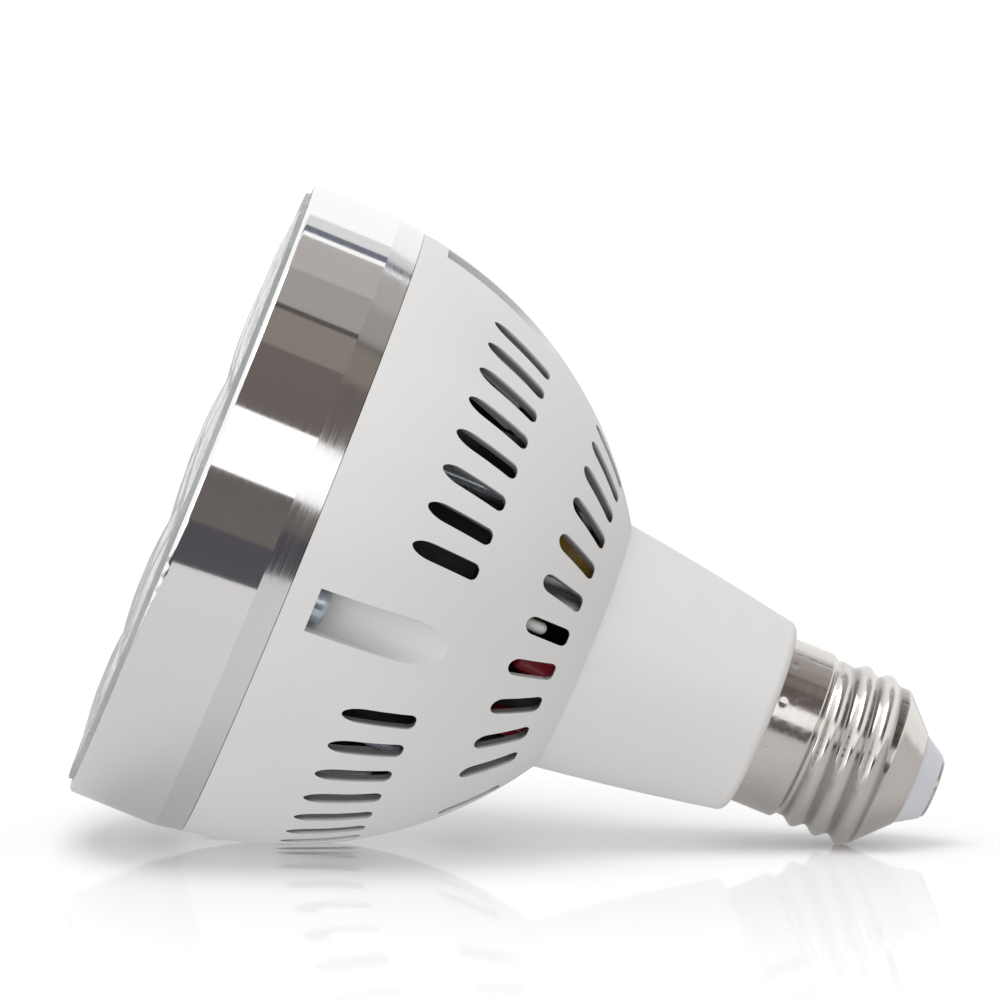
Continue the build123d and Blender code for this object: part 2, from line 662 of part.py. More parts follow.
def base_z():
    return FAN_END_Z - MOTOR_BASE


def bearing_end():
    return base_z() - BEARING_END_GAP


def make_rotor_yoke():
    return pipe(yoke_r(), yoke_r() - YOKE_WALL, rotor_floor(), base_z() - AXIAL_PLAY - YOKE_INSET)


def make_rotor_magnet():
    end = base_z() - AXIAL_PLAY - MAGNET_INSET
    return pipe(magnet_r(), magnet_r() - MAGNET_WALL, rotor_floor() + MAGNET_START, end)


def make_fan_shaft():
    return rod(SHAFT_R, FAN_Z + AXIAL_PLAY + HUB_SKIN + PRESS_GAP, bearing_end())


def make_fan_bearing():
    return pipe(BEARING_R, SHAFT_R + BEARING_FIT, bearing_end() - BEARING_LENGTH, bearing_end())


def stator_z():
    return base_z() - FAN_BOARD - STATOR_LIFT - STATOR_LENGTH


def tube_outer_r():
    return BEARING_R + PRESS_GAP + TUBE_WALL


def make_stator_core():
    """Laminated core: a sleeve, four poles and their curved shoes."""
    low = stator_z()
    high = low + STATOR_LENGTH
    core = pipe(tube_outer_r() + STATOR_SLEEVE, tube_outer_r() + PRESS_GAP, low, high)
    shoes = pipe(stator_r(), stator_r() - SHOE_THICK, low, high)
    gap = Pos(stator_r(), 0, 0) * block(SHOE_THICK * 4, SHOE_GAP, low - THROUGH, high + THROUGH)
    for i in range(POLES):
        shoes -= around(0, (i + 0.5) * 360 / POLES) * gap
    arm_start = tube_outer_r() + STATOR_SLEEVE / 2
    arm_length = stator_r() - SHOE_THICK / 2 - arm_start
    arm = Pos(arm_start + arm_length / 2, 0, 0) * block(arm_length, POLE_WIDTH, low, high)
    for i in range(POLES):
        core += around(0, i * 360 / POLES) * arm
    return core + shoes


def make_stator_coils():
    """A copper winding round each pole."""
    inner = tube_outer_r() + STATOR_SLEEVE + COIL_START
    length = stator_r() - SHOE_THICK - COIL_END - inner
    width = POLE_WIDTH + 2 * COIL_FIT
    height = STATOR_LENGTH + 2 * COIL_FIT
    winding = Box(length, width + 2 * COIL_THICK, height + 2 * COIL_THICK)
    winding = fillet(winding.edges().filter_by(Axis.X), COIL_THICK * 0.8)
    winding -= Box(length + THROUGH, width, height)
    coil = Pos(inner + length / 2, 0, stator_z() + STATOR_LENGTH / 2) * winding
    return [around(0, i * 360 / POLES) * coil for i in range(POLES)]


def make_fan_board():
    return pipe(stator_r(), tube_outer_r() + PRESS_GAP, base_z() - FAN_BOARD, base_z())


def make_fan_screws():
    screw = pan_screw(SCREW_R, SCREW_HEAD_R, SCREW_HEAD, FAN_DEPTH + FAN_SCREW_BITE)
    return [Pos(x, y, FAN_END_Z) * screw for x, y in fan_corners()]


def make_driver_board():
    low = BOARD_Z - THROUGH
    high = BOARD_TOP_Z + THROUGH
    board = rod(BOARD_R, BOARD_Z, BOARD_TOP_Z)
    for azimuth in POST_AZIMUTHS:
        board -= around(BOARD_POST_PITCH_R, azimuth) * rod(POST_SCREW_R + POST_SCREW_GAP, low, high)
    for x, y in lead_holes():
        board -= Pos(x, y, 0) * rod(LIGHT_LEAD_R + LEAD_FIT, low, high)
    return board


def make_driver_screws():
    length = BOARD_THICK + POST_SCREW_BITE
    screw = Rot(180, 0, 0) * pan_screw(POST_SCREW_R, POST_SCREW_HEAD_R, POST_SCREW_HEAD, length)
    return [around(BOARD_POST_PITCH_R, a, BOARD_Z) * screw for a in POST_AZIMUTHS]


def lead_holes():
    """Holes in the driver board for the light board's leads: x and y."""
    return [spot(LOOP_OUTER_R, LOOP_AZIMUTH)[:2], spot(*RED_LEAD_AT)[:2]]


def on_board(at, height=0.0):
    return around(at[0], at[1], BOARD_TOP_Z + height)


def make_transformer_core():
    """Ferrite E cores: a frame round the winding and the leg inside it."""
    floor = (Align.CENTER, Align.CENTER, Align.MIN)
    outer = Box(CORE_DEPTH, CORE_WIDTH, CORE_HEIGHT, align=floor)
    opening = (CORE_DEPTH + 1, CORE_WIDTH - 2 * CORE_BAR, CORE_HEIGHT - 2 * CORE_BAR)
    window = Pos(0, 0, CORE_BAR) * Box(*opening, align=floor)
    leg = Pos(0, 0, CORE_BAR / 2) * Box(CORE_DEPTH, CORE_LEG, CORE_HEIGHT - CORE_BAR, align=floor)
    return on_board(TRANSFORMER_AT, LEG_LENGTH) * (outer - window + leg)


def make_transformer_winding():
    """Winding on its bobbin under yellow tape, with the bobbin's feet and pins."""
    low = CORE_BAR + PART_GAP
    high = CORE_HEIGHT - CORE_BAR - PART_GAP
    width = CORE_WIDTH - 2 * CORE_BAR - 2 * PART_GAP
    winding = block(WINDING_LENGTH, width, low, high, 2.0)
    winding -= Box(WINDING_LENGTH * 2, CORE_LEG + 2 * PART_GAP, CORE_HEIGHT * 3) & Box(
        CORE_DEPTH + 2 * PART_GAP, CORE_WIDTH, CORE_HEIGHT * 3
    )
    for side in (-1, 1):
        foot_x = side * (WINDING_LENGTH / 2 - FOOT_DEPTH / 2)
        winding += Pos(foot_x, 0, 0) * block(FOOT_DEPTH, CORE_WIDTH, 0, low + 0.5)
        for y in (-CORE_WIDTH / 3, 0, CORE_WIDTH / 3):
            winding += Pos(foot_x, y, 0) * rod(PIN_R, -LEG_LENGTH, 0.5)
    return on_board(TRANSFORMER_AT, LEG_LENGTH) * winding


def spreader_place():
    return against_dome(SPREADER_AZIMUTH, SPREADER_THICK, SPREADER_WIDTH, SPREADER_HEIGHT)


def make_heat_spreader():
    """Aluminium plate that cools the switching transistor."""
    return on_board(spreader_place()) * block(SPREADER_THICK, SPREADER_WIDTH, 0, SPREADER_HEIGHT)


def make_transistor():
    middle = -(SPREADER_THICK + TRANSISTOR_THICK) / 2
    top = LEG_LENGTH + TRANSISTOR_HEIGHT
    body = Pos(middle, 0, 0) * block(TRANSISTOR_THICK, TRANSISTOR_WIDTH, LEG_LENGTH, top)
    for y in (-TRANSISTOR_WIDTH / 3, 0, TRANSISTOR_WIDTH / 3):
        body += Pos(middle, y, 0) * rod(PIN_R, 0, LEG_LENGTH + 1)
    return on_board(spreader_place()) * body


def film_capacitor(azimuth, length, width, height):
    """Dipped film capacitor on two legs."""
    body = fillet(block(length, width, LEG_LENGTH, LEG_LENGTH + height).edges(), width * 0.3)
    for side in (-1, 1):
        body += Pos(side * length * 0.3, 0, 0) * rod(PIN_R, 0, LEG_LENGTH + 1)
    return on_board(against_dome(azimuth, length, width, LEG_LENGTH + height)) * body


def make_choke():
    """Drum choke in a dark sleeve."""
    body = rod(CHOKE_R, LEG_LENGTH, LEG_LENGTH + CHOKE_HEIGHT)
    body = fillet(body.edges().filter_by(GeomType.CIRCLE), CHOKE_R / 6)
    for side in (-1, 1):
        body += Pos(side * CHOKE_R / 2, 0, 0) * rod(PIN_R, 0, LEG_LENGTH + 1)
    return on_board(against_dome(CHOKE_AZIMUTH, 2 * CHOKE_R, 0, LEG_LENGTH + CHOKE_HEIGHT)) * body


def make_bulk_capacitor():
    """Upright electrolytic capacitor that reaches into the neck."""
    depth, groove_low, groove_high = BULK_GROOVE
    body = rod(BULK_CAPACITOR_R, PART_GAP, BULK_CAPACITOR_HEIGHT)
    body = fillet(body.edges().filter_by(GeomType.CIRCLE).sort_by(Axis.Z)[-1], BULK_CAPACITOR_R / 8)
    body -= pipe(BULK_CAPACITOR_R + THROUGH, BULK_CAPACITOR_R - depth, groove_low, groove_high)
    for side in (-1, 1):
        body += Pos(side * BULK_CAPACITOR_R * 0.4, 0, 0) * rod(PIN_R, 0, 1)
    return on_board(BULK_CAPACITOR_AT) * body


def make_bridge():
    """Flat bridge rectifier standing on four legs."""
    length, width, height = BRIDGE
    body = block(length, width, LEG_LENGTH, LEG_LENGTH + height, 0.5)
    for step in (-1.5, -0.5, 0.5, 1.5):
        body += Pos(0, step * width / 4, 0) * rod(PIN_R, 0, LEG_LENGTH + 1)
    return on_board(against_dome(BRIDGE_AZIMUTH, length, width, LEG_LENGTH + height)) * body


def light_lead(side, place, *rest):
    """Lead from the light board past the fan to this place on the driver board, and on."""
    start = (side * LEAD_SPREAD, -LEAD_PITCH_R)
    rise_z = BOARD_Z - LEAD_RISE
    low = (*start, LED_BOARD_Z - LEAD_STRIP)
    return lead(LIGHT_LEAD_R, low, (*start, rise_z - LEAD_SWERVE), spot(*place, rise_z), *rest)


def make_white_lead():
    """It rises through the driver board, turns over and comes down on its pad."""
    top = BOARD_TOP_Z + LOOP_HEIGHT
    outer = (LOOP_OUTER_R, LOOP_AZIMUTH)
    inner = (LOOP_INNER_R, LOOP_AZIMUTH)
    return light_lead(-1, outer, spot(*outer, top), spot(*inner, top), spot(*inner, BOARD_TOP_Z))


def make_red_lead():
    return light_lead(1, RED_LEAD_AT, spot(*RED_LEAD_AT, BOARD_TOP_Z + LEAD_STRIP))


def contact_pin_z():
    return CAP_END_Z - INSULATOR_PLUG - CONTACT_PIN_REACH


def make_live_lead():
    """From the driver board to the contact's pin."""
    low = spot(*LIVE_AT, BOARD_TOP_Z)
    bend = spot(*LIVE_AT, NECK_END_Z - LEAD_FROM_NECK_END)
    middle = (0, 0, NECK_END_Z + LEAD_FROM_NECK_END / 2)
    return lead(THIN_LEAD_R, low, bend, middle, (0, 0, contact_pin_z()))


def make_neutral_lead():
    """From the driver board to the inside of the cap, over the end of the spigot."""
    azimuth = NEUTRAL_AT[1]
    inner_r = CAP_SPIGOT_BORE - 3 * THIN_LEAD_R
    outer_r = CAP_ROOT_R - CAP_WALL - LEAD_STRIP
    turn_z = NECK_END_Z + CAP_SPIGOT_LENGTH + 2 * THIN_LEAD_R
    return lead(
        THIN_LEAD_R, spot(*NEUTRAL_AT, BOARD_TOP_Z), spot(*NEUTRAL_AT, NECK_END_Z - LEAD_FROM_NECK_END),
        spot(inner_r, azimuth, NECK_END_Z - HOUSING_WALL), spot(inner_r, azimuth, turn_z),
        spot(outer_r, azimuth, turn_z),
    )


def make_fan_lead(at):
    return lead(FAN_LEAD_R, spot(*at, FAN_END_Z), spot(*at, BOARD_Z))


def thread_ridge():
    """Rounded ridge along a right-hand helix, counted from the skirt's edge."""
    start_z = CAP_SKIRT_LENGTH + THREAD_FROM_SKIRT
    axis_r = CAP_CREST_R - THREAD_ROUND
    helix = Helix(THREAD_PITCH, THREAD_PITCH * THREAD_TURNS, axis_r, center=(0, 0, start_z))
    section = Plane(helix @ 0, z_dir=helix % 0) * Circle(THREAD_ROUND)
    return sweep(section, path=helix, is_frenet=True)


def make_screw_cap():
    """Threaded metal shell with its skirt, shoulder and mouth."""
    end = CAP_LENGTH + SHOULDER_LENGTH
    inner_r = CAP_ROOT_R - CAP_WALL
    mouth = CAP_MOUTH_R - CAP_WALL
    slope_z = CAP_SKIRT_LENGTH - CAP_SKIRT_SLOPE
    outer = turned(
        (0, 0), (CAP_SKIRT_R, 0), (CAP_SKIRT_R, slope_z), (CAP_ROOT_R, CAP_SKIRT_LENGTH),
        (CAP_ROOT_R, CAP_LENGTH), (CAP_MOUTH_R, end), (0, end),
    )
    inner = turned(
        (0, -THROUGH), (inner_r, -THROUGH), (inner_r, CAP_LENGTH), (mouth, end), (mouth, end + THROUGH),
        (0, end + THROUGH),
    )
    shell = outer + thread_ridge() - inner
    return Pos(0, 0, NECK_END_Z) * Rot(0, 0, THREAD_ANGLE) * shell


def make_cap_insulator():
    """Moulded plug with the cone that shows past the shell."""
    bore = CONTACT_PIN_R + INSULATOR_FIT
    mouth = CAP_MOUTH_R - CAP_WALL - 2 * INSULATOR_FIT
    slope = (CAP_ROOT_R - CAP_MOUTH_R) / SHOULDER_LENGTH
    plug_r = mouth + slope * (INSULATOR_PLUG - INSULATOR_EDGE) - INSULATOR_STEP
    plug_z = CAP_END_Z - INSULATOR_PLUG
    return turned(
        (bore, plug_z), (plug_r, plug_z), (mouth, CAP_END_Z - INSULATOR_EDGE), (mouth, CAP_END_Z),
        (INSULATOR_R, CAP_END_Z), (INSULATOR_TIP_R, TIP_Z), (bore, TIP_Z),
    )


def make_centre_contact():
    """Contact disc with the pin that the live lead meets."""
    disc = rod(CONTACT_R, TIP_Z, TIP_Z + CONTACT_THICK)
    disc = fillet(disc.edges().filter_by(GeomType.CIRCLE).sort_by(Axis.Z)[-1], CONTACT_ROUND)
    return disc + rod(CONTACT_PIN_R, contact_pin_z(), TIP_Z + OVERLAP)


def all_parts():
    """Every piece by name."""
    pieces = {
        "lens_plate": make_lens_plate(),
        "led_board": make_led_board(),
        "board_screws": make_board_screws(),
        "heat_sink": make_heat_sink(),
        "rear_housing": make_rear_housing(),
        "housing_screws": make_housing_screws(),
        "fan_frame": make_fan_frame(),
        "fan_impeller": make_fan_impeller(),
        "rotor_yoke": make_rotor_yoke(),
        "rotor_magnet": make_rotor_magnet(),
        "fan_shaft": make_fan_shaft(),
        "fan_bearing": make_fan_bearing(),
        "stator_core": make_stator_core(),
        "stator_coils": make_stator_coils(),
        "fan_board": make_fan_board(),
        "fan_screws": make_fan_screws(),
        "driver_board": make_driver_board(),
        "driver_screws": make_driver_screws(),
        "transformer_core": make_transformer_core(),
        "transformer_winding": make_transformer_winding(),
        "heat_spreader": make_heat_spreader(),
        "switch_transistor": make_transistor(),
        "red_capacitor": film_capacitor(RED_CAPACITOR_AZIMUTH, *RED_CAPACITOR),
        "small_capacitor": film_capacitor(SMALL_CAPACITOR_AZIMUTH, *SMALL_CAPACITOR),
        "choke": make_choke(),
        "bulk_capacitor": make_bulk_capacitor(),
        "bridge_rectifier": make_bridge(),
        "white_lead": make_white_lead(),
        "red_lead": make_red_lead(),
        "live_lead": make_live_lead(),
        "neutral_lead": make_neutral_lead(),
        "fan_lead_1": make_fan_lead(FAN_LEADS_AT[0]),
        "fan_lead_2": make_fan_lead(FAN_LEADS_AT[1]),
        "screw_cap": make_screw_cap(),
        "cap_insulator": make_cap_insulator(),
        "centre_contact": make_centre_contact(),
    }
    for number, (radius, azimuth) in enumerate(cell_places(), start=1):
        pieces[f"led_chip_{number:02d}"] = around(radius, azimuth) * make_chip()
    return pieces


os.makedirs("parts", exist_ok=True)
for name, piece in all_parts().items():
    shape = Compound(children=piece) if isinstance(piece, list) else piece
    export_step(shape, f"parts/{name}.step")
    print(name, round(shape.volume, 2))
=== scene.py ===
import json
from math import cos, exp, pi, radians, sin

import bmesh
import bpy
from mathutils import Matrix, Vector


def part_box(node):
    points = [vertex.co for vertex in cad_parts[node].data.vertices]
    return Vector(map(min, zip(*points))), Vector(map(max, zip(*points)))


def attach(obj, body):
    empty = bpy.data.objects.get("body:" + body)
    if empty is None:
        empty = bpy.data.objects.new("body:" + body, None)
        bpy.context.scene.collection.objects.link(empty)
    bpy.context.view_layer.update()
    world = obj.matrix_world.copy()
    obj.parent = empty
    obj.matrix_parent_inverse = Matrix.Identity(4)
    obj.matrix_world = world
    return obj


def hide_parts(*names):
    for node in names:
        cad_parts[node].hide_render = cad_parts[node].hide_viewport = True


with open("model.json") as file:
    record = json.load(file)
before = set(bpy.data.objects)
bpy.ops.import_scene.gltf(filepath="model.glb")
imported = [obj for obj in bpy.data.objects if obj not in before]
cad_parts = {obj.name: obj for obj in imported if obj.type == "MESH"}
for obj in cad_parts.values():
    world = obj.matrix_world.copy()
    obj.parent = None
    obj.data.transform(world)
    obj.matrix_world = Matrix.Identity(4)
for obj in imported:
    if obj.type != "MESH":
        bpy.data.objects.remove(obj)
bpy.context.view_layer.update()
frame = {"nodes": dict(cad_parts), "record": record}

NODES = frame["nodes"]
MM = 0.001

# Camera, placed for the photograph's view of the lamp lying on its side, metres
CAMERA_AT = Vector((-0.206247, -0.9785, -0.011421))
CAMERA_BACK = Vector((-0.19099, -0.98002, -0.05552))
CAMERA_UP = Vector((-0.90483, 0.1977, -0.3771))
CAMERA_LENS = 245.0
CAMERA_SENSOR = 36.0
CAMERA_CLIP = (0.05, 20.0)

# Even light, where 1 is the white of the background, and the soft lamps: offset from LAMP_MIDDLE along
# the view's right, up and back, width in metres, power in watts
WORLD_LEVEL = 0.755
LAMP_MIDDLE = Vector((0.0, 0.0, 0.05))
LIGHTS = (
    ("key_light", (-0.10, 0.75, 0.22), 0.55, 3.0),
    ("front_light", (-0.25, -0.12, 0.75), 0.60, 1.6),
)

# How the lamp lies in the photograph: azimuth of its lower side and tilt in degrees, then radius and height
# in mm of the place where the cap touches the floor
REST_AZIMUTH = 82.1
REST_TILT = 21.92
REST_POINT = (13.1, 109.54)

# Floors: width and reach of their glow from LAMP_MIDDLE in metres, levels, and what metal sees of them
WHITE = (1.0, 1.0, 1.0)
FLOOR_SPAN = 30.0
FLOOR_GRAIN = 300.0
FLOOR_SHADE = 0.97
FLOOR_GLOW = 0.27
GLOW_START = 0.08
GLOW_END = 0.40
FLOOR_SHEEN = 0.55
SHEEN_ROUGH = 0.05
SHEEN_IOR = 1.35
MIRRORED_FLOOR = (0.31, 0.30, 0.295)
MIRRORED_SHADE = 1.05
MIRRORED_GLOW = 0.27

# Kinds of ray that a stage piece is hidden from
ONLY_REFLECTED = ("camera", "diffuse", "shadow", "transmission", "volume_scatter")
ONLY_SEEN = ("diffuse", "glossy", "shadow", "transmission", "volume_scatter")
NO_SHADE = ("diffuse", "shadow")

# Front ring of the heat sink, metres: end of the polished band, least radius of the outside, start of the
# painted shadow line at the seam with the housing, and how softly each starts
RING_BAND_END = 14.8 * MM
BAND_FADE = 0.02 * MM
RING_OUTSIDE = 46.55 * MM
OUTSIDE_FADE = 0.1 * MM
SEAM_SHADOW_Z = 18.92 * MM
SEAM_FADE = 0.06 * MM

# Finishes of the heat sink: tints, roughness and bump strength of each zone, then grain and relief
CAST = {"tints": ((0.44, 0.44, 0.43, 1), (0.60, 0.60, 0.59, 1)), "rough": (0.45, 0.65), "bump": 0.5}
BRUSHED_BAND = {"tints": ((0.82, 0.815, 0.81, 1), (0.92, 0.915, 0.91, 1)),
                "rough": (0.09, 0.17), "bump": 0.07}
POLISHED_BAND = {"tints": ((0.93, 0.925, 0.92, 1), (0.97, 0.965, 0.96, 1)),
                 "rough": (0.04, 0.08), "bump": 0.03}
# Painted shadow line in the seam gap between the ring and the housing
SEAM_SHADOW_TINT = (0.16, 0.16, 0.16, 1)
SKIN_BUMP = 0.012
CAST_GRAIN = 1400.0
CAST_DETAIL = 5.0
SKIN_GRAIN = 2600.0
TURNED_LINES = 6000.0
TURNED_DETAIL = 3.0
TURNED_STRETCH = (0.01, 0.01, 1.0)
CAST_RELIEF = 0.05 * MM
LINE_RELIEF = 0.004 * MM

# All other finishes: grain of the mottling, detail of the fine grain, bump strength, least roughness
PATCH_GRAIN = 55.0
FINE_DETAIL = 6.0
RELIEF_STRENGTH = 0.6
LEAST_ROUGH = 0.02

# Outer edge of the lens cells, mm, and how softly the frosted rim starts after it
LENS_CELLS_R = 43.8
RIM_FADE = 0.4

# Thread of the cap, mm: radii where the root's painted shade ends, heights that it lies between, their
# softness
THREAD_FLOOR_R = 12.15
THREAD_FLANK_R = 12.65
THREAD_BAND = (100.0, 110.6)
THREAD_FADE = 0.4

# Dome of the rear housing, mm: arc, wall, depths where the painted shade fades in, half width of a screw
# pocket
DOME_ARC_R = 61.5031
DOME_CENTRE_R = -13.7446
DOME_CENTRE_Z = 11.5047
DOME_WALL = 1.3
VENT_SHADE_DEPTHS = (0.55, 0.15)
POCKET_HALF = 3.4
POCKET_FADE = 0.2

# Vents of the dome: height of the lowest, then radius at the level end, half width and corner, mm
VENT_Z = 24.0
VENT_FADE = 1.0
FRONT_VENT = {"inner_r": 39.0, "half": 1.25, "corner": 1.0}
REAR_VENT = {"inner_r": 24.79, "half": 1.3, "corner": 0.9}
CORNER_STEPS = 6
CORNER_SHARP = 40

# Azimuths of the vents, degrees: eight in each quarter in front, an even row with two gaps behind
FRONT_START = 17.5
FRONT_STEP = 55 / 7
FRONT_COUNT = 8
REAR_STEP = 12
REAR_GAPS = (48, 228)
FRONT_VENTS = [90 * q + FRONT_START + FRONT_STEP * k for q in range(4) for k in range(FRONT_COUNT)]
REAR_VENTS = [azimuth for azimuth in range(0, 360, REAR_STEP) if azimuth not in REAR_GAPS]

# Screw cap shell: radii and heights above the neck's end in mm, turns in degrees
CAP_TURN = 180.0
SKIRT_R = 12.85
SKIRT_END = 6.4
ROOT_START = 7.4
ROOT_R = 12.1
CREST_R = 13.1
PITCH = 3.629
THREAD_START = 8.4
THREAD_TURNS = 2.7
THREAD_RUN_IN = (-0.10, 0.15)
THREAD_RUN_OUT = (0.2, 0.1)
CREST_POWER = 0.9
BODY_END = 19.0
SHELL_END = 23.7
MOUTH_R = 7.3
SHELL_WALL = 0.35
SHELL_STEPS = 210
SHELL_SIDES = 264
SHELL_SHARP = 50
PUNCHES = 12
PUNCH_START = 3.0
PUNCH_HEIGHT = 0.9
PUNCH_R = 0.32
PUNCH_DEPTH = 0.17

# Studio walls that only reflections see: start and end azimuth round the lamp in degrees, colour, level
SEEN_TURN = 11.9
WALL_R = 0.5
WALL_LOW = -0.16
WALL_HIGH = 0.42
WALL_STEP = 4
WALL_GRAIN = 9.0
WALL_SHADES = (0.9, 1.08)
WALLS = (
    ("wall_grey_edge", -123.0, -115.0, (0.72, 0.72, 0.73), 1.0),
    ("wall_dark_edge", -115.0, -110.8, (0.15, 0.16, 0.20), 1.0),
    ("wall_bright_edge", -110.8, -108.0, (1.0, 1.0, 1.0), 1.05),
    ("wall_beige_far", -108.0, -89.0, (0.445, 0.42, 0.41), 1.0),
    ("wall_beige_near", -89.0, -72.0, (0.345, 0.325, 0.31), 1.0),
    ("wall_line", -72.0, -69.8, (0.08, 0.075, 0.07), 1.0),
    ("wall_tan", -69.8, -55.0, (0.235, 0.205, 0.18), 1.0),
    ("wall_brown", -55.0, -30.5, (0.142, 0.122, 0.115), 1.0),
    ("wall_window", -30.5, -9.0, (1.0, 1.0, 1.0), 1.25),
    ("wall_front", -9.0, 11.0, (0.128, 0.112, 0.107), 1.0),
)

# Dark strip on the floor in front of the lamp, metres, seen in the ring's lower half
APRON_START = 0.158
APRON_END = 0.50
APRON_HALF = 0.60
APRON_LIFT = 0.001
APRON_COLOUR = (0.070, 0.065, 0.077)


def socket(node, name, value):
    node.inputs[name].default_value = value


def new_material(name):
    mat = bpy.data.materials.new(name)
    mat.use_nodes = True
    tree = mat.node_tree
    tree.nodes.clear()
    return mat, tree


def add(tree, kind, **values):
    """New node; names with an underscore first are its own settings, the rest are its sockets."""
    node = tree.nodes.new("ShaderNode" + kind)
    for key, value in values.items():
        if key.startswith("_"):
            setattr(node, key[1:], value)
        else:
            node.inputs[key.replace("_", " ")].default_value = value
    return node


def link(tree, start, end):
    tree.links.new(start, end)


def object_coords(tree, stretch=(1, 1, 1)):
    coords = add(tree, "TexCoord")
    mapping = add(tree, "Mapping")
    socket(mapping, "Scale", stretch)
    link(tree, coords.outputs["Object"], mapping.inputs["Vector"])
    return mapping.outputs["Vector"]


def noise(tree, vector, scale, detail=4.0):
    node = add(tree, "TexNoise", Scale=scale, Detail=detail)
    link(tree, vector, node.inputs["Vector"])
    return node.outputs["Fac"]


def ranged(tree, value, low, high, start=0.35, end=0.65):
    node = add(tree, "MapRange")
    for name, number in (("From Min", start), ("From Max", end), ("To Min", low), ("To Max", high)):
        socket(node, name, number)
    link(tree, value, node.inputs["Value"])
    return node.outputs["Result"]


def mixed(tree, factor, first, second):
    """Mix of two colours or two numbers by a factor socket."""
    colour = not (isinstance(first, float) or isinstance(second, float))
    node = add(tree, "Mix", _data_type="RGBA" if colour else "FLOAT")
    ends = (node.inputs[6], node.inputs[7]) if colour else (node.inputs[2], node.inputs[3])
    for end, value in zip(ends, (first, second)):
        if isinstance(value, bpy.types.NodeSocket):
            link(tree, value, end)
        else:
            end.default_value = value
    link(tree, factor, node.inputs[0])
    return node.outputs[2] if colour else node.outputs[0]


def maths(tree, operation, first, second):
    node = add(tree, "Math", _operation=operation)
    for end, value in zip(node.inputs, (first, second)):
        if isinstance(value, bpy.types.NodeSocket):
            link(tree, value, end)
        else:
            end.default_value = value
    return node.outputs[0]


def shade(colour, factor):
    return tuple(min(1.0, c * factor) for c in colour) + (1.0,)


def split(tree, place):
    """X, Y and Z of a position."""
    parts = add(tree, "SeparateXYZ")
    link(tree, place, parts.inputs[0])
    return tuple(parts.outputs)


def show(tree, shader):
    """Makes a shader the material's surface."""
    out = add(tree, "OutputMaterial")
    link(tree, shader, out.inputs["Surface"])


def blended(tree, factor, first, second):
    """Mix of two shaders by a factor socket."""
    node = add(tree, "MixShader")
    for end, value in zip(node.inputs, (factor, first, second)):
        link(tree, value, end)
    return node.outputs[0]


def surface(name, colour, rough, metal=0.0, vary=0.05, spread=0.06, grain=900.0, relief=0.02,
            stretch=(1, 1, 1), zone=None, zone_level=1.0, zone_rough=None, **sockets):
    """Material with mottled colour, uneven roughness and a fine relief in mm; a zone may differ."""
    mat, tree = new_material(name)
    bsdf = add(tree, "BsdfPrincipled", Metallic=metal, **sockets)
    plain = object_coords(tree)
    patches = noise(tree, plain, PATCH_GRAIN)
    fine = noise(tree, object_coords(tree, stretch), grain, FINE_DETAIL)
    tint = mixed(tree, ranged(tree, patches, 0.0, 1.0), shade(colour, 1 - vary), shade(colour, 1 + vary))
    gloss = ranged(tree, fine, max(LEAST_ROUGH, rough - spread), rough + spread)
    if zone:
        inside = zone(tree, plain)
        tint = mixed(tree, inside, tint, shade(colour, zone_level))
        if zone_rough:
            gloss = mixed(tree, inside, gloss, zone_rough)
    link(tree, tint, bsdf.inputs["Base Color"])
    link(tree, gloss, bsdf.inputs["Roughness"])
    bump = add(tree, "Bump", Strength=RELIEF_STRENGTH, Distance=relief * MM)
    link(tree, fine, bump.inputs["Height"])
    link(tree, bump.outputs["Normal"], bsdf.inputs["Normal"])
    show(tree, bsdf.outputs["BSDF"])
    return mat


def lamp_radius(tree, x, y):
    """Distance from the lamp's axis."""
    flat = add(tree, "CombineXYZ")
    link(tree, x, flat.inputs[0])
    link(tree, y, flat.inputs[1])
    length = add(tree, "VectorMath", _operation="LENGTH")
    link(tree, flat.outputs[0], length.inputs[0])
    return length.outputs["Value"]


def dome_distance(tree, radius, height):
    """Distance from the centre of the dome's arc."""
    across = maths(tree, "SUBTRACT", radius, DOME_CENTRE_R * MM)
    along = maths(tree, "SUBTRACT", height, DOME_CENTRE_Z * MM)
    squares = maths(tree, "ADD", maths(tree, "POWER", across, 2.0), maths(tree, "POWER", along, 2.0))
    return maths(tree, "SQRT", squares, 0.0)


def painted_vent_shade(tree, plain):
    """Painted shade: 1 on the vents' side walls and the dome's inside, 0 on its skin and in the screw
    pockets.
    """
    x, y, height = split(tree, plain)
    reach = dome_distance(tree, lamp_radius(tree, x, y), height)
    deep = ranged(tree, reach, 1.0, 0.0, *[(DOME_ARC_R - depth) * MM for depth in VENT_SHADE_DEPTHS])
    nearest = maths(tree, "MINIMUM", *[maths(tree, "ABSOLUTE", side, 0.0) for side in (x, y)])
    clear = ranged(tree, nearest, 0.0, 1.0, POCKET_HALF * MM, (POCKET_HALF + POCKET_FADE) * MM)
    high = ranged(tree, height, 0.0, 1.0, (VENT_Z - VENT_FADE) * MM, VENT_Z * MM)
    return maths(tree, "MULTIPLY", maths(tree, "MULTIPLY", deep, clear), high)


def lens_rim(tree, plain):
    """1 on the lens plate's frosted rim, 0 on its clear cells."""
    x, y, _ = split(tree, plain)
    return ranged(tree, lamp_radius(tree, x, y), 0.0, 1.0, LENS_CELLS_R * MM, (LENS_CELLS_R + RIM_FADE) * MM)


